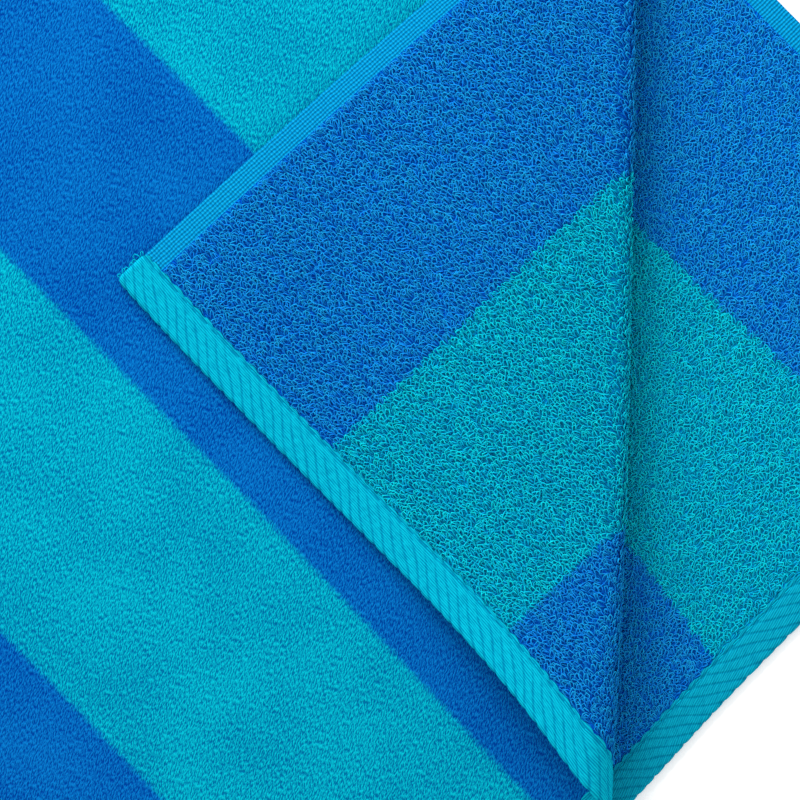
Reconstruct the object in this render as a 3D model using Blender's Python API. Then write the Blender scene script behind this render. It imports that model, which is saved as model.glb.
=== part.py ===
"""A striped beach towel, folded in half hem to hem, with one corner of its upper layer
turned back.

The towel is one woven length, so it is one solid. It has velour on one face and loops on
the other, a thin flat selvedge down each side and a flat turned hem at each end. It lies
with the velour outside: the lower layer has its velour on the surface, the upper layer
has its velour up, and the turned corner shows the loops.

The cloth is drawn flat first, as a slab in cloth coordinates: across runs from the middle
of the width, along runs from the lower layer's hem. Straight cuts divide it into cells,
closest together where it will bend. Then every corner of every cell is carried to the
place where that spot of the cloth lies.

Row frame: +Z up, the towel on Z = 0, both hems at the front (-Y), the crosswise fold at
the back (+Y) and the turned corner at the front right. Metres.
"""

import math
from collections import namedtuple

import bmesh
import bpy
from mathutils import Vector

# The cloth as woven and hemmed
WIDTH = 0.800  # selvedge to selvedge
LENGTH = 1.600  # hem to hem
PILE_THICKNESS = 0.0030
UPPER_HEM_WIDTH = 0.0135
LOWER_HEM_WIDTH = 0.0125
HEM_THICKNESS = 0.0024
SELVEDGE_WIDTH = 0.0087
SELVEDGE_THICKNESS = 0.0014
PILE_SHOULDER = 0.0015  # from the flat edge's thickness up to the pile's

# How it lies
LAYER_GAP = 0.0010  # between one layer and the next
FOLD_RADIUS = 0.0060  # the crosswise fold, at its outer face
FOLD_SETTLE = 0.080  # the upper layer sinks from the fold to the lower one over this length
CORNER_ALONG_HEM = 0.2486  # of the hem, from the corner to the crease
CORNER_ALONG_SELVEDGE = 0.2403  # of the selvedge, from the corner to the crease
CORNER_SETTLE = 0.110  # the turned corner sinks from its roll to the layer under it
ROLL_AT_HEM = 0.0095  # radius of the turned corner's roll at its inner face, by the hem
ROLL_FAR = 0.0037  # the same towards the selvedge, where the roll is tighter
ROLL_NARROWS = 0.070  # it narrows over this length up the crease
ROLL_GIVE = 0.0030  # how much longer the cloth is round the roll than when flat
ROLL_BACK = 0.0014  # the turned corner lies this much further back than a flat fold's

# How finely it is divided
CELL = 0.032
FOLD_STEPS = 8  # flat facets round the crosswise fold
ROLL_STEPS = 16  # and round the roll, where it is widest
SETTLE_STEPS = 5
PROBE = 0.0001  # step for reading the cloth's slope

# A place where a layer was pulled out of line when it was laid: shift_x and shift_y at its
# middle, fading over its reach
Tug = namedtuple("Tug", "layer x y reach shift_x shift_y")
HEM_SHOWS = 0.0025  # of the lower hem, past the upper one beside the turned corner
TUGS = (
    Tug("lower", x=0.400, y=-0.250, reach=0.160, shift_x=-0.0130, shift_y=0.0),
    Tug("lower", x=0.215, y=-0.398, reach=0.045, shift_x=-0.0095, shift_y=0.0),
    Tug("lower", x=0.150, y=-0.398, reach=0.050, shift_x=0.0, shift_y=-HEM_SHOWS),
    Tug("lower", x=-0.400, y=-0.290, reach=0.130, shift_x=0.0050, shift_y=0.0),
    Tug("upper", x=-0.400, y=0.030, reach=0.140, shift_x=0.0040, shift_y=0.0),
    Tug("upper", x=-0.150, y=-0.398, reach=0.120, shift_x=0.0, shift_y=0.0040),
    Tug("upper", x=0.090, y=-0.398, reach=0.110, shift_x=-0.0050, shift_y=0.0),
    Tug("upper", x=0.235, y=-0.398, reach=0.060, shift_x=0.0, shift_y=0.0028),
    Tug("upper", x=0.380, y=-0.398, reach=0.050, shift_x=0.0, shift_y=-0.0010),
    Tug("upper", x=0.160, y=-0.390, reach=0.030, shift_x=0.0, shift_y=-0.0028),
    Tug("upper", x=0.309, y=-0.244, reach=0.090, shift_x=0.0038, shift_y=0.0),
    Tug("upper", x=0.400, y=-0.200, reach=0.100, shift_x=-0.0052, shift_y=0.0),
    Tug("upper", x=0.400, y=0.110, reach=0.110, shift_x=-0.0035, shift_y=0.0),
    Tug("both", x=-0.080, y=0.398, reach=0.240, shift_x=0.0, shift_y=-0.0040),
)

# A long soft swelling of the upper layer: heading in degrees from +X, then half sizes
Swell = namedtuple("Swell", "x y heading length width height")
SWELLS = (
    Swell(x=-0.215, y=0.020, heading=72, length=0.230, width=0.055, height=0.0034),
    Swell(x=0.060, y=0.175, heading=24, length=0.200, width=0.050, height=0.0026),
    Swell(x=-0.120, y=-0.255, heading=-38, length=0.170, width=0.050, height=0.0024),
    Swell(x=0.265, y=0.060, heading=58, length=0.140, width=0.045, height=0.0020),
    Swell(x=0.020, y=-0.120, heading=40, length=0.120, width=0.060, height=0.0012),
)

TOWEL_BLUE = (0.003, 0.144, 0.539, 1.0)
TOWEL_ROUGHNESS = 0.95

# Worked out from the sizes above
QUARTER_FOLD = math.pi / 2 * FOLD_RADIUS  # cloth in half of the crosswise fold
DEPTH = LENGTH / 2 - (math.pi / 2 - 1) * FOLD_RADIUS  # folded, front to back
FRONT = -(DEPTH - HEM_SHOWS) / 2  # of the upper layer, so that the whole is centred
FOLD_AXIS = FRONT + DEPTH - FOLD_RADIUS
FOLD_AT = LENGTH / 2  # along the cloth, the middle of the crosswise fold
UPPER_VELOUR = 2 * PILE_THICKNESS + LAYER_GAP  # height of the upper layer's top face
CREASE_START = Vector((WIDTH / 2 - CORNER_ALONG_HEM, FRONT))
CREASE_ALONG = Vector((CORNER_ALONG_HEM, CORNER_ALONG_SELVEDGE)).normalized()
TO_CORNER = Vector((CREASE_ALONG.y, -CREASE_ALONG.x))


def ease(share):
    """0 before the start, 1 past the end and a smooth rise between."""
    share = min(max(share, 0.0), 1.0)
    return share * share * (3 - 2 * share)


def along_fold(along):
    """Y and height of the velour face, before the corner is turned."""
    past_middle = along - FOLD_AT
    if past_middle <= -QUARTER_FOLD:
        return FOLD_AXIS + past_middle + QUARTER_FOLD, 0.0
    if past_middle < QUARTER_FOLD:
        angle = past_middle / FOLD_RADIUS
        return (
            FOLD_AXIS + FOLD_RADIUS * math.cos(angle),
            FOLD_RADIUS * (1 + math.sin(angle)),
        )
    past_fold = past_middle - QUARTER_FOLD
    sink = (2 * FOLD_RADIUS - UPPER_VELOUR) * ease(past_fold / FOLD_SETTLE)
    return FOLD_AXIS - past_fold, 2 * FOLD_RADIUS - sink


def roll_at(up):
    """The roll this far up the crease from the hem: its radius, the length of cloth in
    it, and where it leaves the upper layer."""
    radius = ROLL_FAR + (ROLL_AT_HEM - ROLL_FAR) * math.exp(-((up / ROLL_NARROWS) ** 2))
    cloth = math.pi * radius - ROLL_GIVE
    return radius, cloth, -(cloth + ROLL_BACK) / 2


def turned_corner(beyond, up):
    """How far past the crease, and how much higher, a spot of the upper layer comes to
    lie, which lay this far past the crease and up it when the layer was flat."""
    radius, cloth, start = roll_at(up)
    arc = beyond - start
    if arc <= 0:
        return beyond, 0.0
    if arc < cloth:
        angle = math.pi * arc / cloth
        return start + radius * math.sin(angle), radius * (1 - math.cos(angle))
    past_roll = arc - cloth
    sink = (2 * radius - LAYER_GAP) * ease(past_roll / CORNER_SETTLE)
    return start - past_roll, 2 * radius - sink


def swelling(x, y):
    """Height of the soft swellings at a place on the upper layer."""
    height = 0.0
    for swell in SWELLS:
        heading = math.radians(swell.heading)
        east, north = x - swell.x, y - swell.y
        lengthwise = east * math.cos(heading) + north * math.sin(heading)
        sideways = north * math.cos(heading) - east * math.sin(heading)
        spread = (lengthwise / swell.length) ** 2 + (sideways / swell.width) ** 2
        height += swell.height * math.exp(-spread)
    return height


def pulled(layer, x, y):
    """Where a spot lies once its layer has been pulled out of line."""
    shift_x = shift_y = 0.0
    for tug in TUGS:
        if tug.layer in (layer, "both"):
            away = math.hypot(x - tug.x, y - tug.y) / tug.reach
            shift_x += tug.shift_x * math.exp(-away * away)
            shift_y += tug.shift_y * math.exp(-away * away)
    return x + shift_x, y + shift_y


def velour_point(across, along):
    """Where a spot of the cloth lies, on its velour face."""
    y, z = along_fold(along)
    if along < FOLD_AT:
        x, y = pulled("lower", across, y)
    else:
        x, y = pulled("upper", across, y)
        from_start = Vector((x, y)) - CREASE_START
        beyond = from_start.dot(TO_CORNER)
        lies, rise = turned_corner(beyond, from_start.dot(CREASE_ALONG))
        x += TO_CORNER.x * (lies - beyond)
        y += TO_CORNER.y * (lies - beyond)
        z += rise
    z += swelling(x, y) * min(z / UPPER_VELOUR, 1.0)
    return Vector((x, y, z))


def to_loops(across, along):
    """Unit vector through the cloth, from the velour face to the loops."""
    here = velour_point(across, along)
    step = PROBE if across < 0 else -PROBE
    sideways = (velour_point(across + step, along) - here) / step
    step = PROBE if along < LENGTH / 2 else -PROBE
    lengthways = (velour_point(across, along + step) - here) / step
    return sideways.cross(lengthways).normalized()


def thickness(across, along):
    """Of the cloth: pile in the middle, thinner at the flat hems and selvedges."""
    into_hem = min(along - LOWER_HEM_WIDTH, LENGTH - UPPER_HEM_WIDTH - along)
    into_selvedge = WIDTH / 2 - abs(across) - SELVEDGE_WIDTH
    if into_hem < PILE_SHOULDER / 2:
        return HEM_THICKNESS
    if into_selvedge < PILE_SHOULDER / 2:
        return SELVEDGE_THICKNESS
    return PILE_THICKNESS


def even_places(start, end):
    """Places of even cuts between two borders, about a cell apart."""
    count = max(round((end - start) / CELL), 1)
    return [start + (end - start) * i / count for i in range(count + 1)]


def cut_places():
    """Where the flat cloth is cut: across it, along it, and parallel to the crease."""
    pile_side = WIDTH / 2 - SELVEDGE_WIDTH - PILE_SHOULDER
    across = even_places(-pile_side, pile_side)
    across += [pile_side + PILE_SHOULDER, -pile_side - PILE_SHOULDER]

    lower_pile = LOWER_HEM_WIDTH + PILE_SHOULDER
    upper_pile = LENGTH - UPPER_HEM_WIDTH - PILE_SHOULDER
    fold_start, fold_end = FOLD_AT - QUARTER_FOLD, FOLD_AT + QUARTER_FOLD
    along = [LOWER_HEM_WIDTH, LENGTH - UPPER_HEM_WIDTH]
    along += even_places(lower_pile, fold_start)
    along += [
        fold_start + 2 * QUARTER_FOLD * i / FOLD_STEPS for i in range(1, FOLD_STEPS)
    ]
    along += [fold_end + FOLD_SETTLE * i / SETTLE_STEPS for i in range(SETTLE_STEPS)]
    along += even_places(fold_end + FOLD_SETTLE, upper_pile)

    radius, cloth, start = roll_at(0.0)  # at its widest
    beyond = [start + cloth * i / ROLL_STEPS for i in range(ROLL_STEPS)]
    beyond += [
        start + cloth + CORNER_SETTLE * i / SETTLE_STEPS for i in range(SETTLE_STEPS + 1)
    ]
    return across, along, beyond


def cut(mesh, place, direction):
    """One straight cut through the whole flat cloth."""
    parts = mesh.verts[:] + mesh.edges[:] + mesh.faces[:]
    bmesh.ops.bisect_plane(mesh, geom=parts, plane_co=place, plane_no=direction)


def flat_cloth():
    """The cloth as a flat slab of cells. Z is 0 on the velour and 1 on the loops."""
    mesh = bmesh.new()
    corners = ((-1, 0), (1, 0), (1, 1), (-1, 1))
    mesh.faces.new(
        [mesh.verts.new((side * WIDTH / 2, end * LENGTH, 0)) for side, end in corners]
    )
    across_places, along_places, beyond_places = cut_places()
    for across in across_places:
        cut(mesh, (across, 0, 0), (1, 0, 0))
    for along in along_places:
        cut(mesh, (0, along, 0), (0, 1, 0))
    # In cloth coordinates the upper layer runs the other way along Y.
    crease_start = Vector((CREASE_START.x, LENGTH, 0))
    to_corner = Vector((TO_CORNER.x, -TO_CORNER.y, 0))
    for beyond in beyond_places:
        cut(mesh, crease_start + to_corner * beyond, to_corner)
    bmesh.ops.triangulate(mesh, faces=mesh.faces[:])
    loops_face = bmesh.ops.extrude_face_region(
        mesh, geom=mesh.faces[:], use_keep_orig=True
    )
    for item in loops_face["geom"]:
        if isinstance(item, bmesh.types.BMVert):
            item.co.z = 1.0
    return mesh


def lay_down(mesh):
    """Carries each corner of the flat cells to its place in the folded towel."""
    for vert in mesh.verts:
        across, along, level = vert.co
        vert.co = velour_point(across, along)
        if level > 0.5:
            vert.co += to_loops(across, along) * thickness(across, along)
    bmesh.ops.recalc_face_normals(mesh, faces=mesh.faces[:])


def towel_material():
    material = bpy.data.materials.new("towel")
    material.use_nodes = True
    shader = material.node_tree.nodes["Principled BSDF"]
    shader.inputs["Base Color"].default_value = TOWEL_BLUE
    shader.inputs["Roughness"].default_value = TOWEL_ROUGHNESS
    shader.inputs["Metallic"].default_value = 0.0
    return material


def make_towel():
    cells = flat_cloth()
    lay_down(cells)
    mesh = bpy.data.meshes.new("towel")
    cells.to_mesh(mesh)
    cells.free()
    mesh.materials.append(towel_material())
    towel = bpy.data.objects.new("towel", mesh)
    bpy.context.collection.objects.link(towel)


for old in list(bpy.data.objects):
    bpy.data.objects.remove(old, do_unlink=True)
make_towel()
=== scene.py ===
import math

import bpy
import numpy as np
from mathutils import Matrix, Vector


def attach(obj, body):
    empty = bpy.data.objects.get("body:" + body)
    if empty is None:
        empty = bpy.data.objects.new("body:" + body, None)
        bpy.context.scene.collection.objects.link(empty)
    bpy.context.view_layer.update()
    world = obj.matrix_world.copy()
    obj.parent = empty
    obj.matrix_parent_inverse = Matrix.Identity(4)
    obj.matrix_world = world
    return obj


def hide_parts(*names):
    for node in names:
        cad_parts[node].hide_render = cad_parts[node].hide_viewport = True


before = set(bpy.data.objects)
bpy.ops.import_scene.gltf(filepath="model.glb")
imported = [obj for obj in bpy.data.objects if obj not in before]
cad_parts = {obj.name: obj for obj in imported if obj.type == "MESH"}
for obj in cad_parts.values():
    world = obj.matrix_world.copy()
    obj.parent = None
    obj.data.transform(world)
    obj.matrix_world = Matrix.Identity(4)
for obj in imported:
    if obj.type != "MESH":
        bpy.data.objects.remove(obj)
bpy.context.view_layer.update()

# The towel lies folded in half, hem to hem, velour outside, and the front right corner of
# its upper layer is turned back. Cloth places are two numbers in metres: across, from the
# middle of the width, and along, from the lower layer's hem.
towel = {
    "width": 0.800,  # selvedge to selvedge
    "length": 1.600,  # hem to hem
    "pile": 0.0030,  # velour face to the tips of the loops
    "ground": 0.0015,  # velour face to the roots of the loops
    "upperHem": 0.0135,  # how wide it is
    "lowerHem": 0.0125,
    "selvedgeWidth": 0.0087,
}
laid = {
    "layerGap": 0.0010,
    "foldRadius": 0.0060,  # crosswise fold, at its outer face
    "foldSettle": 0.080,
    "cornerAlongHem": 0.2486,
    "cornerAlongSelvedge": 0.2403,
    "cornerSettle": 0.110,
    "rollAtHem": 0.0095,  # radius of the turned corner's roll, at its inner face
    "rollFar": 0.0037,  # the same towards the selvedge
    "rollNarrows": 0.070,  # over this length up the crease
    "rollGive": 0.0030,  # how much longer the cloth is round the roll than when flat
    "rollBack": 0.0014,
    "hemShows": 0.0025,  # of the lower hem, past the upper one
}
tugs = [  # where a layer was pulled out of line: place, reach and shift
    {"layer": "lower", "at": (0.400, -0.250), "reach": 0.160, "shift": (-0.0130, 0)},
    {"layer": "lower", "at": (0.215, -0.398), "reach": 0.045, "shift": (-0.0095, 0)},
    {"layer": "lower", "at": (0.150, -0.398), "reach": 0.050, "shift": (0, -laid["hemShows"])},
    {"layer": "lower", "at": (-0.400, -0.290), "reach": 0.130, "shift": (0.0050, 0)},
    {"layer": "upper", "at": (-0.400, 0.030), "reach": 0.140, "shift": (0.0040, 0)},
    {"layer": "upper", "at": (-0.150, -0.398), "reach": 0.120, "shift": (0, 0.0040)},
    {"layer": "upper", "at": (0.090, -0.398), "reach": 0.110, "shift": (-0.0050, 0)},
    {"layer": "upper", "at": (0.235, -0.398), "reach": 0.060, "shift": (0, 0.0028)},
    {"layer": "upper", "at": (0.380, -0.398), "reach": 0.050, "shift": (0, -0.0010)},
    {"layer": "upper", "at": (0.160, -0.390), "reach": 0.030, "shift": (0, -0.0028)},
    {"layer": "upper", "at": (0.309, -0.244), "reach": 0.090, "shift": (0.0038, 0)},
    {"layer": "upper", "at": (0.400, -0.200), "reach": 0.100, "shift": (-0.0052, 0)},
    {"layer": "upper", "at": (0.400, 0.110), "reach": 0.110, "shift": (-0.0035, 0)},
    {"layer": "both", "at": (-0.080, 0.398), "reach": 0.240, "shift": (0, -0.0040)},
]
swells = [  # long soft swellings of the upper layer
    {"at": (-0.215, 0.020), "heading": 72, "length": 0.230, "width": 0.055, "height": 0.0034},
    {"at": (0.060, 0.175), "heading": 24, "length": 0.200, "width": 0.050, "height": 0.0026},
    {"at": (-0.120, -0.255), "heading": -38, "length": 0.170, "width": 0.050, "height": 0.0024},
    {"at": (0.265, 0.060), "heading": 58, "length": 0.140, "width": 0.045, "height": 0.0020},
    {"at": (0.020, -0.120), "heading": 40, "length": 0.120, "width": 0.060, "height": 0.0012},
]
stripeEdges = [0.0450, 0.1368, 0.2220, 0.3073]  # either side of the middle of the width

halfWidth = towel["width"] / 2
length = towel["length"]
quarterFold = math.pi / 2 * laid["foldRadius"]
depth = length / 2 - (math.pi / 2 - 1) * laid["foldRadius"]
front = -(depth - laid["hemShows"]) / 2
foldAxis = front + depth - laid["foldRadius"]
foldAt = length / 2
upperVelour = 2 * towel["pile"] + laid["layerGap"]
creaseStart = np.array((halfWidth - laid["cornerAlongHem"], front))
creaseAlong = np.array((laid["cornerAlongHem"], laid["cornerAlongSelvedge"]))
creaseAlong /= np.linalg.norm(creaseAlong)
toCorner = np.array((creaseAlong[1], -creaseAlong[0]))
pileSide = halfWidth - towel["selvedgeWidth"]  # where the pile ends and a selvedge begins


def ease(share):
    share = np.clip(share, 0, 1)
    return share * share * (3 - 2 * share)


def alongFold(along):
    past = along - foldAt
    angle = np.clip(past, -quarterFold, quarterFold) / laid["foldRadius"]
    lower = np.minimum(past + quarterFold, 0)
    upper = np.maximum(past - quarterFold, 0)
    sink = (2 * laid["foldRadius"] - upperVelour) * ease(upper / laid["foldSettle"])
    y = foldAxis + lower - upper + laid["foldRadius"] * np.cos(angle)
    return y, laid["foldRadius"] * (1 + np.sin(angle)) - sink


def rollAt(up):  # this far up the crease: its radius, the cloth in it and where it begins
    widening = np.exp(-(up / laid["rollNarrows"]) ** 2)
    radius = laid["rollFar"] + (laid["rollAtHem"] - laid["rollFar"]) * widening
    inRoll = math.pi * radius - laid["rollGive"]
    return radius, inRoll, -(inRoll + laid["rollBack"]) / 2


def turnedCorner(beyond, up):
    radius, inRoll, start = rollAt(up)
    arc = beyond - start
    angle = math.pi * np.clip(arc / inRoll, 0, 1)
    past = np.maximum(arc - inRoll, 0)
    sink = (2 * radius - laid["layerGap"]) * ease(past / laid["cornerSettle"])
    lies = start + np.minimum(arc, 0) - past + radius * np.sin(angle)
    return lies, radius * (1 - np.cos(angle)) - sink


def swelling(x, y):
    height = np.zeros_like(x)
    for swell in swells:
        heading = math.radians(swell["heading"])
        east, north = x - swell["at"][0], y - swell["at"][1]
        lengthwise = east * math.cos(heading) + north * math.sin(heading)
        sideways = north * math.cos(heading) - east * math.sin(heading)
        spread = (lengthwise / swell["length"]) ** 2 + (sideways / swell["width"]) ** 2
        height += swell["height"] * np.exp(-spread)
    return height


def pulled(upper, x, y):
    shiftX, shiftY = np.zeros_like(x), np.zeros_like(y)
    layers = {"upper": upper, "lower": ~upper, "both": True}
    for tug in tugs:
        away = np.hypot(x - tug["at"][0], y - tug["at"][1]) / tug["reach"]
        pull = np.exp(-away * away) * layers[tug["layer"]]
        shiftX += tug["shift"][0] * pull
        shiftY += tug["shift"][1] * pull
    return x + shiftX, y + shiftY


def fromCrease(x, y):  # how far past the crease, and how far up it from the hem
    east, north = x - creaseStart[0], y - creaseStart[1]
    return east * toCorner[0] + north * toCorner[1], east * creaseAlong[0] + north * creaseAlong[1]


def velourPlace(across, along):
    y, z = alongFold(along)
    upper = along >= foldAt
    x, y = pulled(upper, across, y)
    beyond, up = fromCrease(x, y)
    lies, rise = turnedCorner(beyond, up)
    moved = np.where(upper, lies - beyond, 0)
    x, y = x + toCorner[0] * moved, y + toCorner[1] * moved
    z = z + np.where(upper, rise, 0)
    z = z + swelling(x, y) * np.minimum(z / upperVelour, 1)
    return np.stack((x, y, z), axis=-1)


def unit(vectors):
    return vectors / np.linalg.norm(vectors, axis=-1, keepdims=True)


def clothFrame(across, along):  # the velour face's place, and the ways through, across and along
    step = 0.0001
    sideways = velourPlace(across + step, along) - velourPlace(across - step, along)
    lengthways = velourPlace(across, along + step) - velourPlace(across, along - step)
    toLoops = unit(np.cross(sideways, lengthways))
    return velourPlace(across, along), toLoops, unit(sideways), unit(lengthways)


def intoRoll(across, along):  # how far past the roll's beginning, and the cloth in the roll
    y = alongFold(along)[0]
    beyond, up = fromCrease(*pulled(along >= foldAt, across, y))
    inRoll, start = rollAt(up)[1:]
    return beyond - start, inRoll


loopsFrom = {  # how far before the roll the loops begin to show, and over what length
    "upper": (0.006, 0.006),
    "lower": (0.010, 0.008),
}


def loopsShow(across, along):  # 1 where the looped face is seen, 0 between the layers
    past = intoRoll(across, along)[0]
    shown = {layer: ease((past + before) / over) for layer, (before, over) in loopsFrom.items()}
    return np.where(along >= foldAt, shown["upper"], shown["lower"])


# Small helpers for meshes
def deselectAll():
    if bpy.context.object and bpy.context.object.mode != "OBJECT":
        bpy.ops.object.mode_set(mode="OBJECT")
    bpy.ops.object.select_all(action="DESELECT")


def pointsOf(piece):
    points = np.empty(len(piece.data.vertices) * 3)
    piece.data.vertices.foreach_get("co", points)
    return points.reshape(-1, 3)


def movePoints(piece, points):
    piece.data.vertices.foreach_set("co", np.ascontiguousarray(points, dtype=np.float32).ravel())
    piece.data.update()


def drawClothMap(piece, across, along):
    cornerPoints = np.empty(len(piece.data.loops), dtype=np.int32)
    piece.data.loops.foreach_get("vertex_index", cornerPoints)
    layer = piece.data.uv_layers.active or piece.data.uv_layers.new(name="clothMap")
    layer.name = "clothMap"
    spots = np.stack((across[cornerPoints], along[cornerPoints]), axis=-1)
    layer.data.foreach_set("uv", spots.astype(np.float32).ravel())


def flatSlab(name, acrossLines, alongLines, creaseCuts=()):
    # A grid whose lines are moved to their places, cut along the crease and given two faces.
    deselectAll()
    bpy.ops.mesh.primitive_grid_add(
        x_subdivisions=len(acrossLines) - 1, y_subdivisions=len(alongLines) - 1, size=2
    )
    piece = bpy.context.active_object
    piece.name = piece.data.name = name
    grid = pointsOf(piece)
    grid[:, 0] = np.interp(grid[:, 0], np.linspace(-1, 1, len(acrossLines)), acrossLines)
    grid[:, 1] = np.interp(grid[:, 1], np.linspace(-1, 1, len(alongLines)), alongLines)
    movePoints(piece, grid)
    bpy.ops.object.mode_set(mode="EDIT")
    for beyond in creaseCuts:
        bpy.ops.mesh.select_all(action="SELECT")
        bpy.ops.mesh.bisect(
            plane_co=(
                creaseStart[0] + toCorner[0] * beyond,
                length - toCorner[1] * beyond,
                0,
            ),
            plane_no=(toCorner[0], -toCorner[1], 0),
            threshold=0.000001,
        )
    bpy.ops.object.mode_set(mode="OBJECT")
    wall = piece.modifiers.new("twoFaces", "SOLIDIFY")
    wall.thickness = 1.0  # a point's level is 0 on the velour face and 1 on the looped one
    wall.offset = 1.0
    bpy.ops.object.modifier_apply(modifier=wall.name)
    return piece


def layDown(piece, heights):
    flat = pointsOf(piece)
    across, along, level = flat.T
    drawClothMap(piece, across, along)
    place, toLoops = clothFrame(across, along)[:2]
    movePoints(piece, place + toLoops * heights(across, along, level)[:, None])
    bpy.ops.object.mode_set(mode="EDIT")
    bpy.ops.mesh.select_all(action="SELECT")
    bpy.ops.mesh.normals_make_consistent(inside=False)
    bpy.ops.object.mode_set(mode="OBJECT")
    bpy.ops.object.shade_smooth_by_angle(angle=math.radians(50))
    return across, along, level


def evenLines(start, end, cell):
    return np.linspace(start, end, max(round((end - start) / cell), 1) + 1)


def joined(*lines):
    return np.unique(np.round(np.concatenate(lines), 7))


# The camera looks straight down on the turned corner, as in the photograph
cameraSizes = {
    "target": (0.1976, -0.2453),
    "turn": -44.9,  # degrees, so that the crease stands upright in the picture
    "pictureWidth": 0.2736,  # at the upper layer's height
    "lens": 200,
    "sensor": 36,
}


def makeCamera():
    camera = bpy.data.cameras.new("camera")
    camera.lens = cameraSizes["lens"]
    camera.sensor_width = cameraSizes["sensor"]
    camera.clip_start = 0.01
    away = cameraSizes["pictureWidth"] * camera.lens / camera.sensor_width
    holder = bpy.data.objects.new("camera", camera)
    holder.location = (*cameraSizes["target"], away + upperVelour + towel["pile"])
    holder.rotation_euler = (0, 0, math.radians(cameraSizes["turn"]))
    bpy.context.collection.objects.link(holder)
    bpy.context.scene.camera = holder


lightSizes = {
    "world": 0.98,
    "keyPower": 25.0,
    "keySize": 0.75,
    "keyAt": (0.506, 0.914, 0.64),
    "keyTarget": (0.198, -0.245, 0.0),
}


def makeLight():
    world = bpy.data.worlds.new("studio")
    world.use_nodes = True
    sky = world.node_tree.nodes["Background"]
    sky.inputs["Color"].default_value = (1, 1, 1, 1)
    sky.inputs["Strength"].default_value = lightSizes["world"]
    bpy.context.scene.world = world
    deselectAll()
    bpy.ops.object.light_add(type="AREA", location=lightSizes["keyAt"])
    key = bpy.context.active_object
    key.name = "keyLight"
    key.data.energy = lightSizes["keyPower"]
    key.data.size = lightSizes["keySize"]
    aim = Vector(lightSizes["keyTarget"]) - Vector(lightSizes["keyAt"])
    key.rotation_euler = aim.to_track_quat("-Z", "Y").to_euler()


floorLooks = {
    "size": 6,
    "height": -0.0002,
    "shade": (0.93, 0.93, 0.93, 1),
    # painted light: the floor glows a little, which lightens the shadows on it
    "glow": 0.12,
}


def makeFloor():
    deselectAll()
    place = (0, 0, floorLooks["height"])
    bpy.ops.mesh.primitive_plane_add(size=floorLooks["size"], location=place)
    floor = bpy.context.active_object
    floor.name = "floor"
    material, tree, shader = newMaterial("paleFloor")
    shader.inputs["Base Color"].default_value = floorLooks["shade"]
    # painted light: a faint glow that lightens the floor's shadows
    shader.inputs["Emission Color"].default_value = (1, 1, 1, 1)
    shader.inputs["Emission Strength"].default_value = floorLooks["glow"]
    floor.data.materials.append(material)


# Shader helpers
def addNode(tree, kind, **settings):
    node = tree.nodes.new(kind)
    for name, value in settings.items():
        setattr(node, name, value)
    return node


def fill(tree, node, values):
    for place, value in values.items():
        if isinstance(value, (int, float, tuple)):
            node.inputs[place].default_value = value
        else:
            tree.links.new(value, node.inputs[place])
    return node


def maths(tree, operation, *values):
    node = addNode(tree, "ShaderNodeMath", operation=operation)
    return fill(tree, node, dict(enumerate(values))).outputs[0]


def mapped(tree, value, low, high, toLow=0.0, toHigh=1.0, style="LINEAR"):
    node = addNode(tree, "ShaderNodeMapRange", interpolation_type=style)
    fill(tree, node, {"Value": value, "From Min": low, "From Max": high})
    return fill(tree, node, {"To Min": toLow, "To Max": toHigh}).outputs[0]


def mixed(tree, share, first, second):
    node = addNode(tree, "ShaderNodeMix", data_type="RGBA")
    return fill(tree, node, {0: share, 6: first, 7: second}).outputs[2]


def noise(tree, place, scale, detail=2.0, roughness=0.5):
    node = addNode(tree, "ShaderNodeTexNoise")
    values = {"Vector": place, "Scale": scale, "Detail": detail, "Roughness": roughness}
    return fill(tree, node, values).outputs["Fac"]


def split(tree, place):
    return fill(tree, addNode(tree, "ShaderNodeSeparateXYZ"), {0: place}).outputs


def newGroup(name, inputs, outputs):
    group = bpy.data.node_groups.new(name, "ShaderNodeTree")
    for title, kind in inputs.items():
        group.interface.new_socket(name=title, in_out="INPUT", socket_type="NodeSocket" + kind)
    for title, kind in outputs.items():
        group.interface.new_socket(name=title, in_out="OUTPUT", socket_type="NodeSocket" + kind)
    return group, group.nodes.new("NodeGroupInput").outputs, group.nodes.new("NodeGroupOutput")


def useGroup(tree, group, **values):
    return fill(tree, addNode(tree, "ShaderNodeGroup", node_tree=group), values).outputs


def newMaterial(name):  # matt cotton
    material = bpy.data.materials.new(name)
    material.use_nodes = True
    shader = material.node_tree.nodes["Principled BSDF"]
    shader.inputs["Roughness"].default_value = 0.95
    shader.inputs["Specular IOR Level"].default_value = 0.0
    return material, material.node_tree, shader


def clothMap(tree):
    return addNode(tree, "ShaderNodeUVMap", uv_map="clothMap").outputs[0]


def bumpOf(tree, shader, height, strength, distance):
    node = addNode(tree, "ShaderNodeBump")
    fill(tree, node, {"Height": height, "Strength": strength, "Distance": distance})
    tree.links.new(node.outputs[0], shader.inputs["Normal"])
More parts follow.
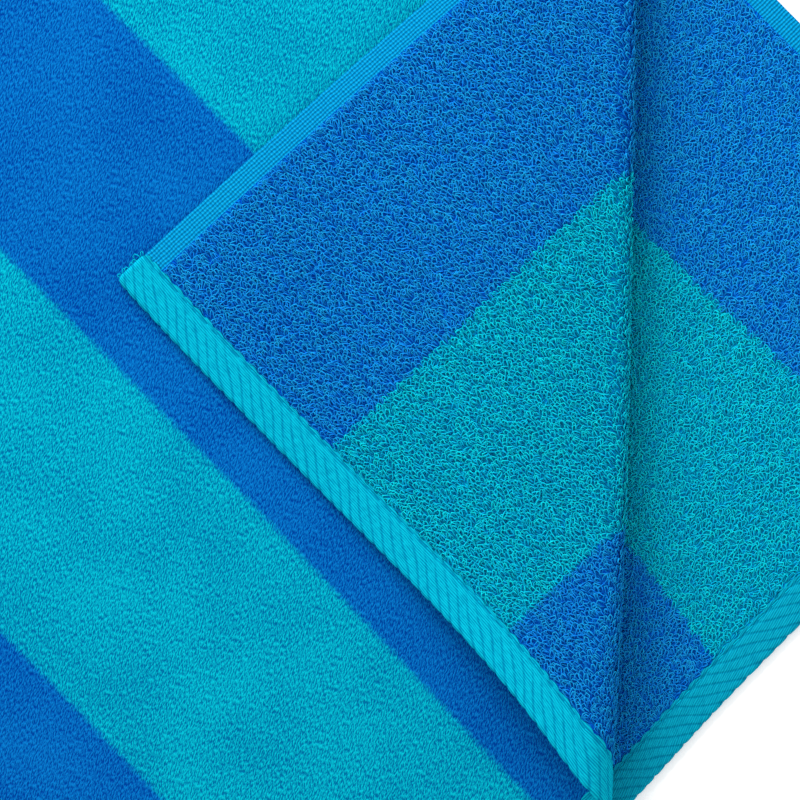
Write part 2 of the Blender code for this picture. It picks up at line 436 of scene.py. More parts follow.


# The colour of each part of the cloth, in two copies: painted shade for its hollows and painted light
# for its lit tops
shadedAndLitDyes = {
    "velourBlue": ((0.0002, 0.034, 0.23, 1), (0.0022, 0.146, 0.44, 1)),
    "velourTurquoise": ((0.0002, 0.100, 0.25, 1), (0.0016, 0.385, 0.48, 1)),
    "loopBlue": ((0.0003, 0.064, 0.66, 1), (0.0085, 0.295, 0.600, 1)),
    "loopTurquoise": ((0.0004, 0.150, 0.56, 1), (0.0035, 0.530, 0.600, 1)),
    "rootBlue": ((0.0003, 0.060, 0.50, 1), (0.0018, 0.175, 0.57, 1)),
    "rootTurquoise": ((0.0005, 0.150, 0.45, 1), (0.0010, 0.425, 0.54, 1)),
    "upperHem": ((0.0002, 0.165, 0.31, 1), (0.002, 0.405, 0.535, 1)),
    "lowerHem": ((0.0003, 0.155, 0.275, 1), (0.003, 0.330, 0.460, 1)),  # painted shade: the same cloth as the upper hem, darker as it lies in more shade
    "selvedge": ((0.0002, 0.170, 0.43, 1), (0.004, 0.305, 0.56, 1)),
    "thread": ((0.0002, 0.200, 0.34, 1), (0.001, 0.400, 0.54, 1)),
}


stripeLooks = {
    "sway": 700,  # noise scale of the edges' wandering
    "onVelour": {"Wander": 0.0042, "Softness": 0.0016},
    "onLoops": {"Wander": 0.0030, "Softness": 0.0004},
}


def stripeGroup():
    # 1 on the blue stripes and 0 on the turquoise ones, with an edge that wanders a little
    group, given, made = newGroup(
        "stripes", {"Place": "Vector", "Wander": "Float", "Softness": "Float"}, {"Blue": "Float"}
    )
    sway = maths(group, "SUBTRACT", noise(group, given["Place"], stripeLooks["sway"]), 0.5)
    middle = maths(group, "ABSOLUTE", split(group, given["Place"])[0])
    middle = maths(group, "MULTIPLY_ADD", sway, given["Wander"], middle)
    blue = 1.0
    for number, edge in enumerate(stripeEdges):
        past = maths(group, "DIVIDE", maths(group, "SUBTRACT", middle, edge), given["Softness"])
        past = mapped(group, past, -1, 1, 0, 1, "SMOOTHSTEP")
        blue = maths(group, "ADD" if number % 2 else "SUBTRACT", blue, past)
    group.links.new(blue, made.inputs["Blue"])
    return group


pileLooks = {
    "brushed": -30,  # degrees, the way the nap lies
    "stretch": 3.0,  # of the speckle, that way
    "speckle": 2300,  # noise scales
    "patches": 30,
    "speckleSpan": (0.38, 0.62),  # of the noise, from painted shade to painted light
    "patchSpan": (0.3, 0.7),
    "patchTone": (-0.10, 0.10),
    "bump": (0.8, 0.0005),  # strength and depth
}


def pileGroup():
    # Short sheared pile: a fine speckle brushed one way, painted shade where its bump is low and
    # painted light where high, and soft broad patches
    group, given, made = newGroup(
        "shearedPile", {"Place": "Vector"}, {"Tone": "Float", "Height": "Float"}
    )
    brushed = addNode(group, "ShaderNodeMapping", vector_type="TEXTURE")
    fill(group, brushed, {
        "Vector": given["Place"],
        "Rotation": (0, 0, math.radians(pileLooks["brushed"])),
        "Scale": (pileLooks["stretch"], 1, 1),
    })
    speckle = noise(group, brushed.outputs[0], pileLooks["speckle"], 1.0)
    patches = noise(group, given["Place"], pileLooks["patches"])
    patches = mapped(group, patches, *pileLooks["patchSpan"], *pileLooks["patchTone"])
    tone = maths(group, "ADD", mapped(group, speckle, *pileLooks["speckleSpan"]), patches)
    group.links.new(tone, made.inputs["Tone"])
    group.links.new(speckle, made.inputs["Height"])
    return group


def makeVelour(stripes, pile):
    material, tree, shader = newMaterial("velour")
    place = clothMap(tree)
    blue = useGroup(tree, stripes, Place=place, **stripeLooks["onVelour"])["Blue"]
    nap = useGroup(tree, pile, Place=place)
    shades = [
        mixed(tree, nap["Tone"], *shadedAndLitDyes["velour" + dye]) for dye in ("Turquoise", "Blue")
    ]
    tree.links.new(mixed(tree, blue, *shades), shader.inputs["Base Color"])
    bumpOf(tree, shader, nap["Height"], *pileLooks["bump"])
    return material


groundLooks = {
    "rowPitch": 0.00085,  # of the deeper loops' strands
    "curl": 16,  # how far the rows bend, in radians of a row
    "curlNoise": 420,  # noise scales
    "toneNoise": 900,
    "toneSpread": 1.2,
    "bump": (0.8, 0.0008),  # strength and depth
}


def makeLoopGround(stripes):
    material, tree, shader = newMaterial("loopGround")
    place = clothMap(tree)
    blue = useGroup(tree, stripes, Place=place, **stripeLooks["onLoops"])["Blue"]
    # The deeper loops, as rows of strands that curl, with painted shade between the strands as in the
    # bump
    curl = noise(tree, place, groundLooks["curlNoise"], 1.0)
    curl = maths(tree, "MULTIPLY", curl, groundLooks["curl"])
    perMetre = 2 * math.pi / groundLooks["rowPitch"]
    rows = maths(tree, "MULTIPLY_ADD", split(tree, place)[1], perMetre, curl)
    strands = mapped(tree, maths(tree, "SINE", rows), -1, 1)
    spread = groundLooks["toneSpread"]
    shift = maths(tree, "ADD", strands, -spread / 2)
    tone = noise(tree, place, groundLooks["toneNoise"], 1.0)
    tone = maths(tree, "MULTIPLY_ADD", tone, spread, shift)
    shades = [mixed(tree, tone, *shadedAndLitDyes["root" + dye]) for dye in ("Turquoise", "Blue")]
    tree.links.new(mixed(tree, blue, *shades), shader.inputs["Base Color"])
    bumpOf(tree, shader, strands, *groundLooks["bump"])
    return material


weaveLooks = {
    "pitch": 0.00118,  # of warp and weft
    "sway": 4.0,  # how far they bend, in radians of a thread
    "swayNoise": 300,  # noise scales
    "toneNoise": 900,
    "weftShare": 1.5,  # how much more the weft counts than the warp
    "beadSpan": 2.2,
    "toneSpread": 1.2,
    "bump": (0.6, 0.0003),  # strength and depth
}


def makeSelvedgeWeave():
    material, tree, shader = newMaterial("selvedgeWeave")
    place = clothMap(tree)
    sway = maths(tree, "MULTIPLY", noise(tree, place, weaveLooks["swayNoise"]), weaveLooks["sway"])
    perMetre = 2 * math.pi / weaveLooks["pitch"]
    warp, weft = (
        maths(tree, "SINE", maths(tree, "MULTIPLY_ADD", part, perMetre, sway))
        for part in split(tree, place)[:2]
    )
    beads = maths(tree, "MULTIPLY_ADD", weft, weaveLooks["weftShare"], warp)
    span, spread = weaveLooks["beadSpan"], weaveLooks["toneSpread"]
    lit = noise(tree, place, weaveLooks["toneNoise"])
    lit = maths(tree, "MULTIPLY_ADD", lit, spread, -spread / 2)
    # painted light on the beads of the weave and painted shade between them, as in the bump
    lit = maths(tree, "ADD", mapped(tree, beads, -span, span), lit)
    tree.links.new(mixed(tree, lit, *shadedAndLitDyes["selvedge"]), shader.inputs["Base Color"])
    bumpOf(tree, shader, beads, *weaveLooks["bump"])
    return material


yarnLooks = {
    "toneSpan": (0.65, 1.10),  # from the darkest yarn to the lightest
    "rootShadeSpan": (0.15, 1),  # painted shade, from the root of a loop to its lit top
}


def makeYarn(name, dye):
    material, tree, shader = newMaterial(name)
    tone = addNode(tree, "ShaderNodeAttribute", attribute_name="yarnTone").outputs["Fac"]
    rise = addNode(tree, "ShaderNodeAttribute", attribute_name="yarnShadeByRise").outputs["Fac"]
    tone = mapped(tree, tone, 0, 1, *yarnLooks["toneSpan"])
    rise = mapped(tree, rise, 0, 1, *yarnLooks["rootShadeSpan"])
    # painted shade: each loop darker towards its roots, on top of its random tone
    lit = maths(tree, "MULTIPLY", tone, rise)
    tree.links.new(mixed(tree, lit, *shadedAndLitDyes[dye]), shader.inputs["Base Color"])
    return material


# The cloth: one length, as a sheet on the folds
clothSizes = {
    "cell": 0.0115,
    "bendSteps": 16,  # round the crosswise fold
    "rollSteps": 32,
    "beforeRoll": (-0.006, -0.003),
    "settleFrom": 0.006,  # past the roll
    "settleSteps": 9,
    "edgeSteps": (0, 0.0004, 0.0011, 0.0040, 0.0062, 0.0070, 0.0078, 0.0090),  # in from a side
    "hemSteps": (-0.0030, -0.0013, -0.0004, 0.0004, 0.0012, 0.0025),  # in from a hem's inner edge
    "velourDip": 0.0006,  # beside hems and selvedges the velour is lower
    "hiddenPile": 0.0028,  # loops between the layers, as a plain thickness
    "selvedgeLoops": 0.0016,
    "selvedgeEdge": 0.0005,  # the hems' ends stand this much further out
    "pileAtHem": (0.0012, 0.0020),  # it rises from this far under a hem, over this length
    "pileAtSelvedge": (0.0004, 0.0012),
    "rimRound": 0.0011,
    "rimThickness": 0.35,  # of the full one
}


def clothHeights(across, along, level):
    intoHem = np.minimum(along - towel["lowerHem"], length - towel["upperHem"] - along)
    intoSelvedge = pileSide - np.abs(across)
    underHem, hemRise = clothSizes["pileAtHem"]
    underSelvedge, selvedgeRise = clothSizes["pileAtSelvedge"]
    pile = ease((intoHem + underHem) / hemRise)
    pile = pile * ease((intoSelvedge + underSelvedge) / selvedgeRise)
    loopFace = clothSizes["hiddenPile"]
    loopFace = loopFace + (towel["ground"] - loopFace) * loopsShow(across, along)
    loopFace = clothSizes["selvedgeLoops"] + (loopFace - clothSizes["selvedgeLoops"]) * pile
    velourFace = clothSizes["velourDip"] * (1 - pile)
    rim = np.clip((halfWidth - np.abs(across)) / clothSizes["rimRound"], 0, 1)
    thin = clothSizes["rimThickness"]
    half = (loopFace - velourFace) / 2 * (thin + (1 - thin) * np.sqrt(1 - (1 - rim) ** 2))
    middle = (loopFace + velourFace) / 2
    return np.where(level > 0.5, middle + half, middle - half)


def makeCloth(velour, loopGround, selvedgeWeave):
    cell = clothSizes["cell"]
    side = halfWidth - clothSizes["selvedgeEdge"]
    edgeSteps = np.array(clothSizes["edgeSteps"])
    acrossLines = joined(
        -side + edgeSteps,
        evenLines(edgeSteps[-1] - side, side - edgeSteps[-1], cell),
        side - edgeSteps,
    )
    hemSteps = np.array(clothSizes["hemSteps"])
    lowerEnd, upperEnd = towel["lowerHem"] + hemSteps, length - towel["upperHem"] - hemSteps
    foldStart, foldEnd = foldAt - quarterFold, foldAt + quarterFold
    alongLines = joined(
        lowerEnd,
        evenLines(lowerEnd[-1], foldStart, cell),
        np.linspace(foldStart, foldEnd, clothSizes["bendSteps"] + 1),
        evenLines(foldEnd, upperEnd[-1], cell),
        upperEnd,
    )
    inRoll, rollStart = rollAt(0.0)[1:]
    rollEnd = rollStart + inRoll
    settling = np.linspace(
        clothSizes["settleFrom"], laid["cornerSettle"], clothSizes["settleSteps"]
    )
    creaseCuts = joined(
        rollStart + np.array(clothSizes["beforeRoll"]),
        np.linspace(rollStart, rollEnd, clothSizes["rollSteps"] + 1),
        rollEnd + settling,
    )
    cloth = flatSlab("towelCloth", acrossLines, alongLines, creaseCuts)
    across, along, level = layDown(cloth, clothHeights)
    for material in (velour, loopGround, selvedgeWeave):
        cloth.data.materials.append(material)
    # Each face is velour, the loops' ground or selvedge, by where it lies on the cloth.
    kinds = np.zeros(len(cloth.data.polygons), dtype=np.int32)
    for face in cloth.data.polygons:
        spots = list(face.vertices)
        if np.abs(across[spots]).mean() > pileSide:
            kinds[face.index] = 2
        elif level[spots].mean() > 0.25:
            kinds[face.index] = 1
    cloth.data.polygons.foreach_set("material_index", kinds)
    cloth.data.update()
    return cloth


# The hems: flat-woven ends, turned and stitched, twisted into slanting ribs
hemSizes = {
    "step": 0.0008,  # between lines round the turned corner
    "coarseStep": 0.0020,  # elsewhere
    "fineFrom": 0.02,  # the closer lines begin this far before the crease
    "endSteps": (0, 0.0003, 0.0010),
    "rows": (0, 0.3, 0.8, 1.5, 2.6, 4.0, 5.5, 7.0, 8.5, 9.7, 10.6, 11.3, 11.8, 12.3, 12.6),
    "rowsWidth": 12.5,  # of a hem, in the units of these rows; its inner edge is a little past it
    "ribRise": 0.00030,
    "thickness": 0.0021,
    "edgeThickness": 0.12,  # of the full one
    "middle": 0.0012,  # of the thickness, from the velour face
    "outerRound": 0.0013,
    "innerRound": 0.0008,
    "endRound": 0.001,
    "scallop": 0.00045,
    "scallopFrom": 0.7,  # the share of a rib's rise at which the edge stays in place
    "notch": 0.00090,  # of the inner edge, between stitches
    "notchFrom": 0.6,  # the same, for the notches
    "cornerRound": 0.0026,
    "cornerReach": 0.0025,
    "seam": 0.0012,  # from the inner edge to the row of stitches
    "seamWidth": 0.0006,
    "seamDepth": 0.22,  # of half the thickness
    "lowest": 0.0001,
}
upperRibs = {"pitch": 0.0053, "slope": 1.32, "fade": (0.0068, 0.0135), "weave": -3}
lowerRibs = {"pitch": 0.0058, "slope": 1.46, "fade": (0.0100, 0.0125), "weave": 17}
ribWaves = ((0.10, 153, 0.0), (0.07, 363, 1.7))  # share of a rib, rate along the hem and start


def ribTurn(across, along, ribs):
    wander = sum(share * np.sin(across * rate + start) for share, rate, start in ribWaves)
    return (across + ribs["slope"] * along) / ribs["pitch"] + wander


def makeHem(name, atEnd, ribs, material):
    width = towel[name]
    seenFrom = halfWidth - laid["cornerAlongHem"] - hemSizes["fineFrom"]
    endSteps = np.array(hemSizes["endSteps"])
    acrossLines = joined(
        -halfWidth + endSteps,
        evenLines(endSteps[-1] - halfWidth, seenFrom, hemSizes["coarseStep"]),
        evenLines(seenFrom, halfWidth - endSteps[-1], hemSizes["step"]),
        halfWidth - endSteps,
    )
    inward = np.array(hemSizes["rows"]) / hemSizes["rowsWidth"] * width
    hem = flatSlab(name, acrossLines, np.sort(length - inward) if atEnd else inward)
    flat = pointsOf(hem)
    inFrom = length - flat[:, 1] if atEnd else flat[:, 1].copy()
    part = np.mod(ribTurn(flat[:, 0], flat[:, 1], ribs), 1)
    rib = 1 - (2 * part - 1) ** 4
    share = np.clip(inFrom / width, 0, 1)
    outward = hemSizes["scallop"] * (rib - hemSizes["scallopFrom"]) * (1 - share) ** 2
    between = 4 * part * (1 - part) - hemSizes["notchFrom"]
    outward -= hemSizes["notch"] * between * share ** 6
    flat[:, 1] += outward * (1 if atEnd else -1)
    # The hem's four corners are rounded.
    fromEnd = halfWidth - np.abs(flat[:, 0])
    fromCorner = np.minimum(inFrom, width - inFrom) / hemSizes["cornerRound"]
    cut = hemSizes["cornerRound"] * (1 - np.sqrt(1 - (1 - np.clip(fromCorner, 0, 1)) ** 2))
    flat[:, 0] -= np.sign(flat[:, 0]) * cut * np.exp(-fromEnd / hemSizes["cornerReach"])
    movePoints(hem, flat)

    def heights(across, along, level):
        rounds = (
            inFrom / hemSizes["outerRound"],
            (inward[-1] - inFrom) / hemSizes["innerRound"],
            (halfWidth - np.abs(across)) / hemSizes["endRound"],
        )
        full = np.ones_like(across)
        for share in rounds:
            full *= np.sqrt(1 - (1 - np.clip(share, 0, 1)) ** 2)
        full = hemSizes["edgeThickness"] + (1 - hemSizes["edgeThickness"]) * full
        seam = np.exp(-((inFrom - width + hemSizes["seam"]) / hemSizes["seamWidth"]) ** 2)
        half = hemSizes["thickness"] / 2 * full * (1 - hemSizes["seamDepth"] * seam)
        rise = hemSizes["ribRise"] * rib * full * (1 - seam)
        above = hemSizes["middle"] + half + rise
        below = hemSizes["middle"] - half - (rise if atEnd else 0)
        if not atEnd:
            below = np.maximum(below, hemSizes["lowest"])
        return np.where(level > 0.5, above, below)

    layDown(hem, heights)
    hem.data.materials.append(material)
    return hem


hemLooks = {
    "creaseFrom": 0.58,  # of half a rib, from its middle
    "creaseNoise": 250,  # noise scales
    "waveNoise": 200,
    "threadNoise": 2000,
    "creaseFade": (0.3, 0.7),  # this span of the noise becomes the next one
    "creaseSpan": (0.75, 1),
    "seamSpan": (0.0002, 0.0007),  # from the row of stitches
    "threadPitch": 0.00073,
    "threadWave": 7.0,  # how far the threads bend, in radians of a thread
    "threadStretch": 7,
    "threadFade": (0.36, 0.64),  # this span of the noise becomes the next one
    "threadSpan": (0.38, 0.88),
    "rowTone": 0.38,
    # painted shade in the creases and along the row of stitches
    "hollowShade": -0.62,
    "rowRise": 0.25,
    "hollowRise": -0.6,
    "bump": (0.7, 0.0003),  # strength and depth
}


def makeHemCloth(dye, ribs):
    material, tree, shader = newMaterial(dye + "Cloth")
    place = clothMap(tree)
    across, along = split(tree, place)[:2]
    # The same slanting ribs as in the shape, for the crease between each two, with painted shade in it
    turn = maths(tree, "MULTIPLY_ADD", along, ribs["slope"], across)
    turn = maths(tree, "DIVIDE", turn, ribs["pitch"])
    for share, rate, start in ribWaves:
        wave = maths(tree, "SINE", maths(tree, "MULTIPLY_ADD", across, rate, start))
        turn = maths(tree, "MULTIPLY_ADD", wave, share, turn)
    part = maths(tree, "ABSOLUTE", maths(tree, "MULTIPLY_ADD", maths(tree, "FRACT", turn), 2, -1))
    crease = mapped(tree, part, hemLooks["creaseFrom"], 1.0, 0, 1, "SMOOTHSTEP")
    # how strong each crease's painted shade and depth are, varying along it
    creaseStrength = noise(tree, place, hemLooks["creaseNoise"])
    creaseStrength = mapped(tree, creaseStrength, *hemLooks["creaseFade"], *hemLooks["creaseSpan"])
    crease = maths(tree, "MULTIPLY", crease, creaseStrength)
    inFrom = maths(tree, "MINIMUM", along, maths(tree, "SUBTRACT", length, along))
    beforeSeam = mapped(tree, inFrom, *ribs["fade"], 1, 0, "SMOOTHSTEP")
    crease = maths(tree, "MULTIPLY", crease, beforeSeam)
    fromSeam = maths(tree, "SUBTRACT", inFrom, towel[dye] - hemSizes["seam"])
    fromSeam = maths(tree, "ABSOLUTE", fromSeam)
    seam = mapped(tree, fromSeam, *hemLooks["seamSpan"], 1, 0, "SMOOTHSTEP")
    hollow = maths(tree, "MAXIMUM", crease, seam)
    # The fine threads it is woven of
    woven = addNode(tree, "ShaderNodeMapping", vector_type="TEXTURE")
    fill(tree, woven, {
        "Vector": place,
        "Rotation": (0, 0, math.radians(ribs["weave"])),
        "Scale": (hemLooks["threadStretch"], 1, 1),
    })
    wavy = noise(tree, place, hemLooks["waveNoise"])
    wavy = maths(tree, "MULTIPLY", wavy, hemLooks["threadWave"])
    perMetre = 2 * math.pi / hemLooks["threadPitch"]
    rows = maths(tree, "MULTIPLY_ADD", split(tree, woven.outputs[0])[1], perMetre, wavy)
    rows = maths(tree, "SINE", rows)
    lit = noise(tree, woven.outputs[0], hemLooks["threadNoise"], 1.0)
    lit = mapped(tree, lit, *hemLooks["threadFade"], *hemLooks["threadSpan"])
    lit = maths(tree, "MULTIPLY_ADD", rows, hemLooks["rowTone"], lit)
    # painted shade in the creases and the row of stitches, which are also sunk in the bump
    lit = maths(tree, "MULTIPLY_ADD", hollow, hemLooks["hollowShade"], lit)
    tree.links.new(mixed(tree, lit, *shadedAndLitDyes[dye]), shader.inputs["Base Color"])
    height = maths(tree, "MULTIPLY", hollow, hemLooks["hollowRise"])
    height = maths(tree, "MULTIPLY_ADD", rows, hemLooks["rowRise"], height)
    bumpOf(tree, shader, height, *hemLooks["bump"])
    return material


# Yarn as closed tubes, many to a piece
def makeTubes(name, centres, across, radius, rise, dice, material, sides=3):
    count, steps = centres.shape[:2]
    heading = unit(np.gradient(centres, axis=1))
    acrossYarn = unit(np.cross(heading, np.broadcast_to(across[:, None], heading.shape)))
    upYarn = np.cross(acrossYarn, heading)
    turns = np.arange(sides) * 2 * math.pi / sides
    rings = np.stack([
        centres + radius * (math.cos(turn) * upYarn + math.sin(turn) * acrossYarn)
        for turn in turns
    ], axis=2)
    perTube = steps * sides
    walls = []
    for step in range(steps - 1):
        for corner in range(sides):
            near = step * sides + corner
            beside = step * sides + (corner + 1) % sides
            walls.append((near, beside, beside + sides, near + sides))
    ends = [tuple(reversed(range(sides))), tuple(range(perTube - sides, perTube))]
    corners = np.concatenate([np.array(face) for face in walls + ends])
    corners = (np.arange(count)[:, None] * perTube + corners).ravel()
    sizes = np.tile([len(face) for face in walls + ends], count)
    mesh = bpy.data.meshes.new(name)
    mesh.vertices.add(count * perTube)
    mesh.vertices.foreach_set("co", rings.astype(np.float32).ravel())
    mesh.loops.add(len(corners))
    mesh.loops.foreach_set("vertex_index", corners.astype(np.int32))
    mesh.polygons.add(len(sizes))
    mesh.polygons.foreach_set("loop_start", (np.cumsum(sizes) - sizes).astype(np.int32))
    mesh.polygons.foreach_set("use_smooth", np.ones(len(sizes), dtype=bool))
    mesh.update(calc_edges=True)
    tones = np.repeat(dice.uniform(0, 1, count), perTube)
    rises = np.tile(np.repeat(rise, sides), count)
    # a random tone for each tube, and how high each point stands, for painted shade towards the roots
    for title, values in (("yarnTone", tones), ("yarnShadeByRise", rises)):
        attribute = mesh.attributes.new(title, "FLOAT", "POINT")
        attribute.data.foreach_set("value", values.astype(np.float32))
    mesh.materials.append(material)
    piece = bpy.data.objects.new(name, mesh)
    bpy.context.collection.objects.link(piece)
    return piece


# The loops, on every part of the looped face that is seen
loopSizes = {
    "cornerSpan": 0.28,  # the part of the cloth that gets them, from its corner
    "yarnRadius": 0.00022,
    "yarnSpan": (0.85, 1.15),  # from the thinnest yarn to the thickest
    "acrossPitch": 0.00141,
    "alongPitch": 0.00160,
    "scatter": 0.42,  # of the pitch
    "rootDepth": 0.0003,  # under the ground's face
    "overEdge": 0.0003,  # how far a loop may lie over a hem or a selvedge
    "clearOf": 0.0004,  # how near its middle may come to them
    "upperFrom": -0.001,  # where they begin, from the roll's beginning
    "lowerFrom": -0.004,
    "extra": 0.6,  # share of the extra places round the roll that are taken
    "extraFrom": 0.004,  # past the roll's beginning
    "extraTo": 0.001,  # before its end
    "pressed": 0.15,  # how much lower they are on the roll
    "shake": 0.00012,
    "tip": 0.35,  # of its length, where a loop's stripe is read
    "nearHem": 0.105,  # the loops of a stripe are in two pieces, which meet here
}
# In both shapes, rootShade: how light a loop's painted shade at its root stays
turnedLoops = {
    "length": (0.0029, 0.0041), "width": (0.0014, 0.0021), "height": (0.0009, 0.0018),
    "heading": 0, "spread": 31, "rootShade": 0.14,
}
lowerLoops = {
    "length": (0.0026, 0.0037), "width": (0.0013, 0.0020), "height": (0.0007, 0.0013),
    "heading": 35, "spread": 45, "rootShade": 0.62,
}
loopPath = np.array((  # one loop from root to root: lean, sideways and up, in shares of its size
    (-0.55, -0.42, 0.00),
    (-0.02, -0.90, 0.60),
    (0.42, -0.62, 0.96),
    (0.46, 0.52, 1.00),
    (0.04, 0.92, 0.64),
    (-0.55, 0.40, 0.00),
))


def loopSpots(dice, upper):
    # Rows of loops over the whole corner, kept where they will be seen
    span = loopSizes["cornerSpan"]
    acrossPlaces = np.arange(halfWidth - span, halfWidth, loopSizes["acrossPitch"])
    fromEnd = np.arange(0, span, loopSizes["alongPitch"])
    grids = np.meshgrid(acrossPlaces, length - fromEnd if upper else fromEnd)
    across, along = (grid.ravel() for grid in grids)
    if upper:  # the roll's outer face is wider than its cloth, so it takes extra loops
        half = loopSizes["acrossPitch"] / 2
        past, inRoll = intoRoll(across + half, along + half)
        onRoll = (past > loopSizes["extraFrom"]) & (past < inRoll - loopSizes["extraTo"])
        onRoll &= dice.uniform(0, 1, len(across)) < loopSizes["extra"]
        across = np.concatenate((across, across[onRoll] + half))
        along = np.concatenate((along, along[onRoll] + half))
    aside = dice.uniform(-1, 1, len(across)) * loopSizes["scatter"]
    across = across + aside * loopSizes["acrossPitch"]
    aside = dice.uniform(-1, 1, len(along)) * loopSizes["scatter"]
    along = along + aside * loopSizes["alongPitch"]
    seen = intoRoll(across, along)[0] > loopSizes["upperFrom" if upper else "lowerFrom"]
    inFrom = length - along - towel["upperHem"] if upper else along - towel["lowerHem"]
    seen &= (across < pileSide - loopSizes["clearOf"]) & (inFrom > loopSizes["clearOf"])
    return across[seen], along[seen]


def stripeOf(across):  # counted from the middle; even stripes are blue
    return sum((np.abs(across) > edge).astype(int) for edge in stripeEdges)


def loopCentres(across, along, upper, shape, dice):
    count = len(across)
    swing = np.radians(dice.normal(shape["heading"], shape["spread"], count))
    reach = dice.uniform(*shape["length"], count)
    width = dice.uniform(*shape["width"], count) / 2
    height = dice.uniform(*shape["height"], count)
    # Loops beside a hem or a selvedge stay on their own side of it.
    wide = np.abs(reach / 2 * np.cos(swing)) + np.abs(width * np.sin(swing))
    deep = np.abs(reach / 2 * np.sin(swing)) + np.abs(width * np.cos(swing))
    across = np.minimum(across, pileSide + loopSizes["overEdge"] - wide)
    nearest = towel["upperHem" if upper else "lowerHem"] - loopSizes["overEdge"] + deep
    along = np.minimum(along, length - nearest) if upper else np.maximum(along, nearest)
    if upper:  # round the roll the loops are pressed flatter
        past, inRoll = intoRoll(across, along)
        height *= 1 - loopSizes["pressed"] * np.sin(math.pi * np.clip(past / inRoll, 0, 1))
    place, toLoops, sideways, lengthways = clothFrame(across, along)
    lean = sideways * np.cos(swing)[:, None] + lengthways * np.sin(swing)[:, None]
    beside = np.cross(toLoops, lean)
    root = place + toLoops * (towel["ground"] - loopSizes["rootDepth"])
    reach, width, height = reach[:, None], width[:, None], height[:, None]
    centres = np.stack([
        root + lean * reach * forward + beside * width * aside + toLoops * height * rise
        for forward, aside, rise in loopPath
    ], axis=1)
    shake = dice.normal(0, loopSizes["shake"], centres.shape)
    shake[:, (0, -1)] = 0
    tipAcross = across + loopSizes["tip"] * reach[:, 0] * np.cos(swing)
    return centres + shake, np.cross(beside, lean * reach + toLoops * height), tipAcross, along


def makeLoops():
    yarns = [makeYarn("yarnBlue", "loopBlue"), makeYarn("yarnTurquoise", "loopTurquoise")]
    pieces = []
    layers = (("turned", True, turnedLoops, 11), ("lower", False, lowerLoops, 23))
    for layer, upper, shape, seed in layers:
        dice = np.random.default_rng(seed)
        across, along = loopSpots(dice, upper)
        centres, flatWay, tipAcross, along = loopCentres(across, along, upper, shape, dice)
        stripe = stripeOf(tipAcross)
        nearHem = (length - along if upper else along) < loopSizes["nearHem"]
        for number in np.unique(stripe):
            for part, inPart in (("Near", nearHem), ("Far", ~nearHem)):
                chosen = (stripe == number) & inPart
                if not chosen.any():
                    continue
                name = f"{layer}Loops{number}{part}"
                radius = dice.uniform(*loopSizes["yarnSpan"], chosen.sum())[:, None, None]
                radius = loopSizes["yarnRadius"] * radius
                # painted shade at the roots, by how high each point of the path stands
                rise = np.clip(loopPath[:, 2], shape["rootShade"], 1)
                pieces.append(makeTubes(
                    name, centres[chosen], unit(flatWay[chosen]), radius, rise, dice,
                    yarns[number % 2],
                ))
                print(name, "has", chosen.sum(), "loops")
    return pieces


# Stitches along each hem, on both faces
stitchSizes = {
    "length": 0.0034,
    "radius": 0.00022,
    "fromSelvedge": 0.003,
    "aside": 0.00012,
    "seamFace": 0.80,  # of half the hem's thickness
    "standsOut": 0.4,  # of its radius
    # Its path, in shares of the length, each with its depth
    "path": ((-0.5, 0.0005), (-0.34, 0.0001), (0, 0), (0.34, 0.0001), (0.5, 0.0005)),
}


def makeStitches(name, atEnd, ribs, dice, material):
    inFrom = towel["upperHem" if atEnd else "lowerHem"] - hemSizes["seam"]
    seam = length - inFrom if atEnd else inFrom
    # One stitch to each rib, halfway between its two creases
    end = halfWidth - stitchSizes["fromSelvedge"]
    first = math.ceil(ribTurn(-end, seam, ribs))
    last = math.floor(ribTurn(end, seam, ribs))
    target = np.arange(first, last) + 0.5
    middle = target * ribs["pitch"] - ribs["slope"] * seam
    for attempt in range(4):
        middle = middle - (ribTurn(middle, seam, ribs) - target) * ribs["pitch"]
    onFace = hemSizes["thickness"] / 2 * stitchSizes["seamFace"]
    onFace += stitchSizes["radius"] * stitchSizes["standsOut"]
    rows = []
    for onLoopSide in (True, False):
        aside = dice.uniform(-stitchSizes["aside"], stitchSizes["aside"], len(middle))
        path = []
        for share, depth in stitchSizes["path"]:
            across = middle + share * stitchSizes["length"]
            place, toLoops = clothFrame(across, seam + aside)[:2]
            face = onFace - depth
            face = hemSizes["middle"] + (face if onLoopSide else -face)
            path.append(place + toLoops * max(face, stitchSizes["radius"]))
        rows.append((np.stack(path, axis=1), toLoops))
    centres = np.concatenate([row[0] for row in rows])
    flatWay = np.concatenate([row[1] for row in rows])
    rise = np.ones(len(stitchSizes["path"]))
    return makeTubes(name, centres, flatWay, stitchSizes["radius"], rise, dice, material, 4)


# Each end of a hem has a few threads that have worked loose
endThreads = {
    "count": 7,
    "radius": 0.00022,
    "over": (0.1, 0.9),  # of the hem's width
    "scatter": 0.0005,
    "reach": (0.0012, 0.0030),
    "growing": (0.45, 1.0),  # of the reach, from the outer edge inwards
    "width": (0.0008, 0.0022),
    "bend": 0.0009,
    "lift": 0.0003,
    # Its path, in shares of the reach and of half the width
    "path": ((-0.4, -0.6), (0.35, -1.0), (0.95, -0.45), (1.0, 0.5), (0.4, 0.95), (-0.4, 0.6)),
}


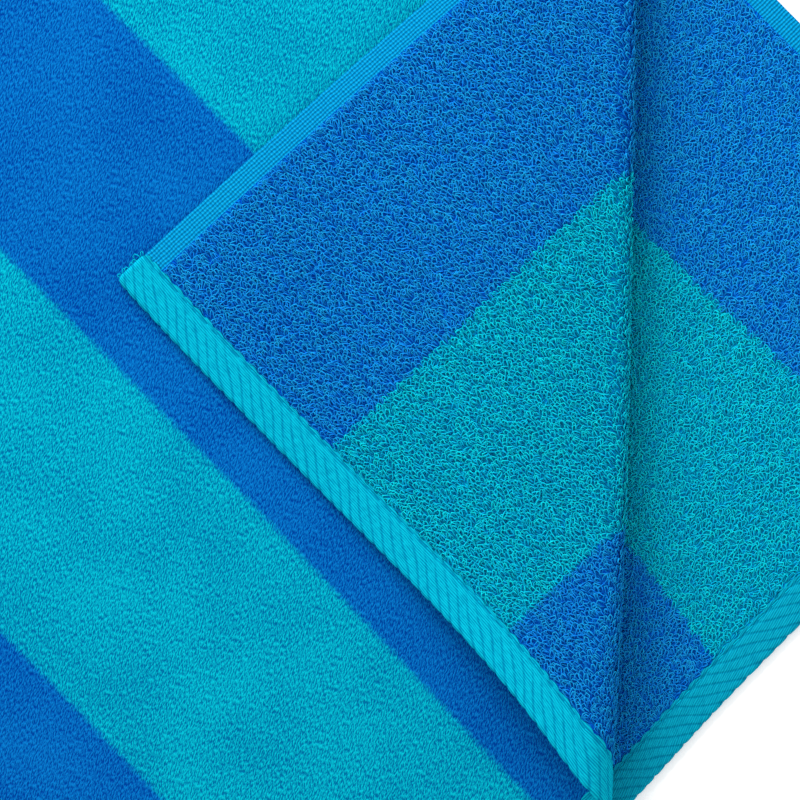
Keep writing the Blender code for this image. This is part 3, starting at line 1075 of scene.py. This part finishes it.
def makeEndThreads(name, atEnd, dice, material):
    count = endThreads["count"]
    both = 2 * count
    side = np.repeat((-1.0, 1.0), count)
    width = towel["upperHem" if atEnd else "lowerHem"]
    inFrom = np.tile(np.linspace(*endThreads["over"], count) * width, 2)
    inFrom = inFrom + dice.uniform(-endThreads["scatter"], endThreads["scatter"], both)
    reach = dice.uniform(*endThreads["reach"], both)
    reach = reach * np.tile(np.linspace(*endThreads["growing"], count), 2)
    half = dice.uniform(*endThreads["width"], both) / 2
    bend = dice.uniform(-endThreads["bend"], endThreads["bend"], both)
    path = []
    for out, beside in endThreads["path"]:
        across = side * (halfWidth + reach * out)
        inward = inFrom + half * beside + bend * max(out, 0)
        along = length - inward if atEnd else inward
        place, toLoops = clothFrame(across, along)[:2]
        lift = dice.uniform(-endThreads["lift"], endThreads["lift"], (both, 1))
        path.append(place + toLoops * (hemSizes["middle"] + lift))
    rise = np.ones(len(path))
    centres = np.stack(path, axis=1)
    return makeTubes(name, centres, toLoops, endThreads["radius"], rise, dice, material)


makeCamera()
makeLight()
makeFloor()
print("camera, light and floor are placed")

stripes = stripeGroup()
cloth = makeCloth(makeVelour(stripes, pileGroup()), makeLoopGround(stripes), makeSelvedgeWeave())
print("cloth is laid")

upperHem = makeHem("upperHem", True, upperRibs, makeHemCloth("upperHem", upperRibs))
lowerHem = makeHem("lowerHem", False, lowerRibs, makeHemCloth("lowerHem", lowerRibs))
threadDice = np.random.default_rng(5)
thread = makeYarn("thread", "thread")
upperStitches = makeStitches("upperStitches", True, upperRibs, threadDice, thread)
lowerStitches = makeStitches("lowerStitches", False, lowerRibs, threadDice, thread)
upperThreads = makeEndThreads("upperEndThreads", True, threadDice, thread)
lowerThreads = makeEndThreads("lowerEndThreads", False, threadDice, thread)
print("hems are turned and stitched")

loops = makeLoops()
trimmings = [upperHem, lowerHem, upperStitches, lowerStitches, upperThreads, lowerThreads, *loops]
for piece in (cloth, *trimmings):
    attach(piece, "root")
    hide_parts("towel")
    print(piece.name, "has", sum(face.loop_total - 2 for face in piece.data.polygons), "triangles")

bpy.context.scene.view_settings.view_transform = "Standard"
